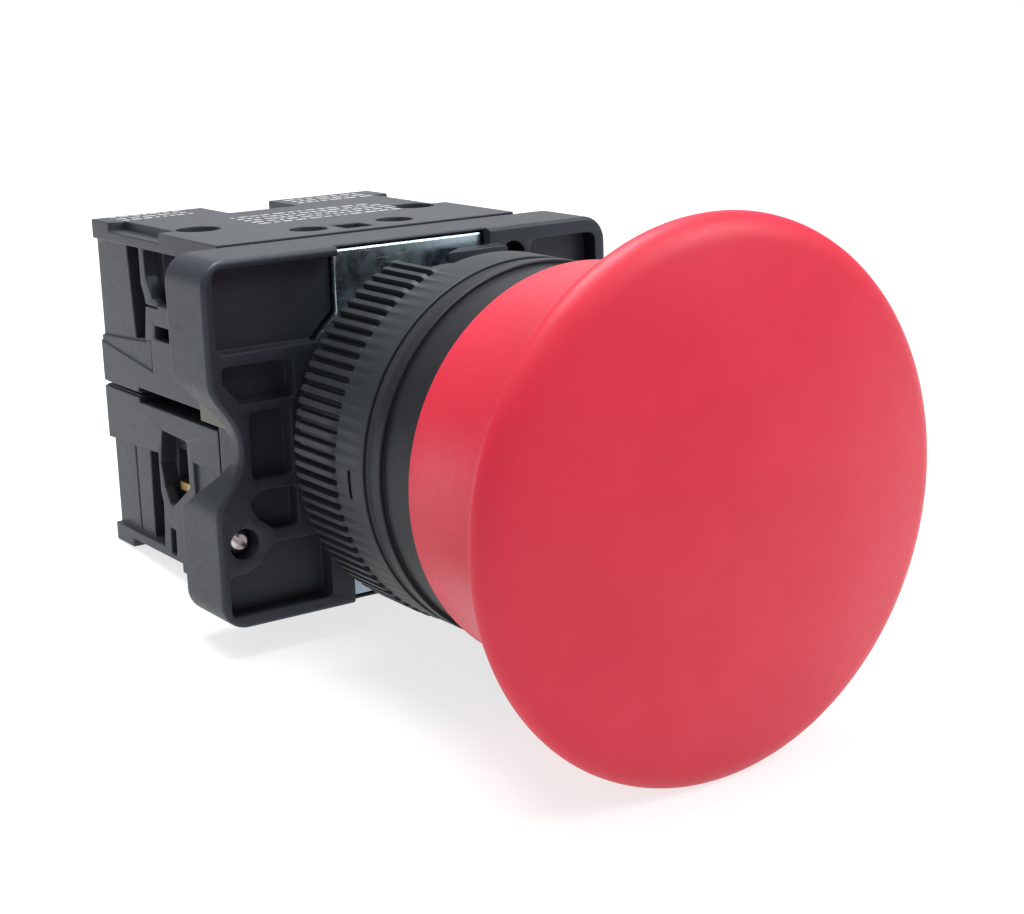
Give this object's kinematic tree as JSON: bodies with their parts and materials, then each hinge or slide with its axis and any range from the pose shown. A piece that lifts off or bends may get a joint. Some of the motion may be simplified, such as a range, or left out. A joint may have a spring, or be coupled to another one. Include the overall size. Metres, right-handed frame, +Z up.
{
  "type": "emergency stop push-button",
  "caption": "Red mushroom push-button for a 22 mm panel hole, with a threaded barrel, ribbed ring nut, clamping base and stacked contact blocks.",
  "frame": {"origin": "on the push axis, in the plane where the gasket meets the front of the panel", "axes": "+Y is the push direction, into the panel; +Z is up, with the two contact blocks one above the other; +X is to the right as the operator sees it"},
  "size_m": [0.04, 0.0736, 0.04],
  "materials": {
    "red_plastic": "satin moulded red",
    "black_plastic": "fine grained black moulding",
    "grey_plastic": "charcoal moulding",
    "rubber_seal": "soft black seal",
    "white_acetal": "natural acetal",
    "green_plastic": "green moulding",
    "zinc_steel": "bright zinc plate, scuffed",
    "yellow_zinc": "yellow passivated zinc",
    "spring_steel": "drawn wire",
    "brass": "stamped strip"
  },
  "bodies": {
    "housing": {"return_spring": "spring_steel", "spring_seat": "grey_plastic", "button_body": "black_plastic", "panel_gasket": "rubber_seal", "ring_nut": "black_plastic", "clamp_base": "black_plastic", "lock_plate": "zinc_steel", "clamp_screw_left": "zinc_steel", "clamp_screw_right": "zinc_steel", "upper_block_housing": "black_plastic", "upper_block_cover": "grey_plastic", "upper_latch_clip": "yellow_zinc", "upper_plunger_spring": "spring_steel", "upper_terminal_left": "brass", "upper_terminal_screw_left": "zinc_steel", "upper_clamp_washer_left": "zinc_steel", "upper_terminal_right": "brass", "upper_terminal_screw_right": "zinc_steel", "upper_clamp_washer_right": "zinc_steel", "lower_block_housing": "black_plastic", "lower_block_cover": "grey_plastic", "lower_latch_clip": "yellow_zinc", "lower_plunger_spring": "spring_steel", "lower_terminal_left": "brass", "lower_terminal_screw_left": "zinc_steel", "lower_clamp_washer_left": "zinc_steel", "lower_terminal_right": "brass", "lower_terminal_screw_right": "zinc_steel", "lower_clamp_washer_right": "zinc_steel"},
    "head": {"mushroom_cap": "red_plastic", "push_stem": "white_acetal", "pusher_foot": "white_acetal"},
    "upper_plunger_body": {"upper_plunger": "red_plastic", "upper_contact_spring": "spring_steel"},
    "upper_bridge_body": {"upper_contact_bridge": "brass"},
    "lower_plunger_body": {"lower_plunger": "green_plastic", "lower_contact_spring": "spring_steel"},
    "lower_bridge_body": {"lower_contact_bridge": "brass"}
  },
  "joints": [
    {"name": "head_press", "type": "slide", "parent": "housing", "child": "head", "axis": [0, 1, 0], "range_m": [0, 0.0043], "stiffness_N_per_m": 1200, "springref_m": -0.006, "deforming": ["return_spring"]},
    {"name": "upper_plunger_slide", "type": "slide", "parent": "housing", "child": "upper_plunger_body", "axis": [0, 1, 0], "range_m": [0, 0.0043], "deforming": ["upper_plunger_spring"]},
    {"name": "upper_bridge_slide", "type": "slide", "parent": "upper_plunger_body", "child": "upper_bridge_body", "axis": [0, 1, 0], "range_m": [-0.0015, 0], "deforming": ["upper_contact_spring"]},
    {"name": "lower_plunger_slide", "type": "slide", "parent": "housing", "child": "lower_plunger_body", "axis": [0, 1, 0], "range_m": [0, 0.0043], "deforming": ["lower_plunger_spring"]},
    {"name": "lower_bridge_slide", "type": "slide", "parent": "lower_plunger_body", "child": "lower_bridge_body", "axis": [0, 1, 0], "range_m": [-0.0017, 0], "deforming": ["lower_contact_spring"]}
  ],
  "couplings": [
    {"joint": "upper_plunger_slide", "follows": "head_press", "ratio": 1},
    {"joint": "upper_bridge_slide", "follows": "head_press", "ratio": -0.34884},
    {"joint": "lower_plunger_slide", "follows": "head_press", "ratio": 1},
    {"joint": "lower_bridge_slide", "follows": "head_press", "ratio": -0.39535}
  ]
}
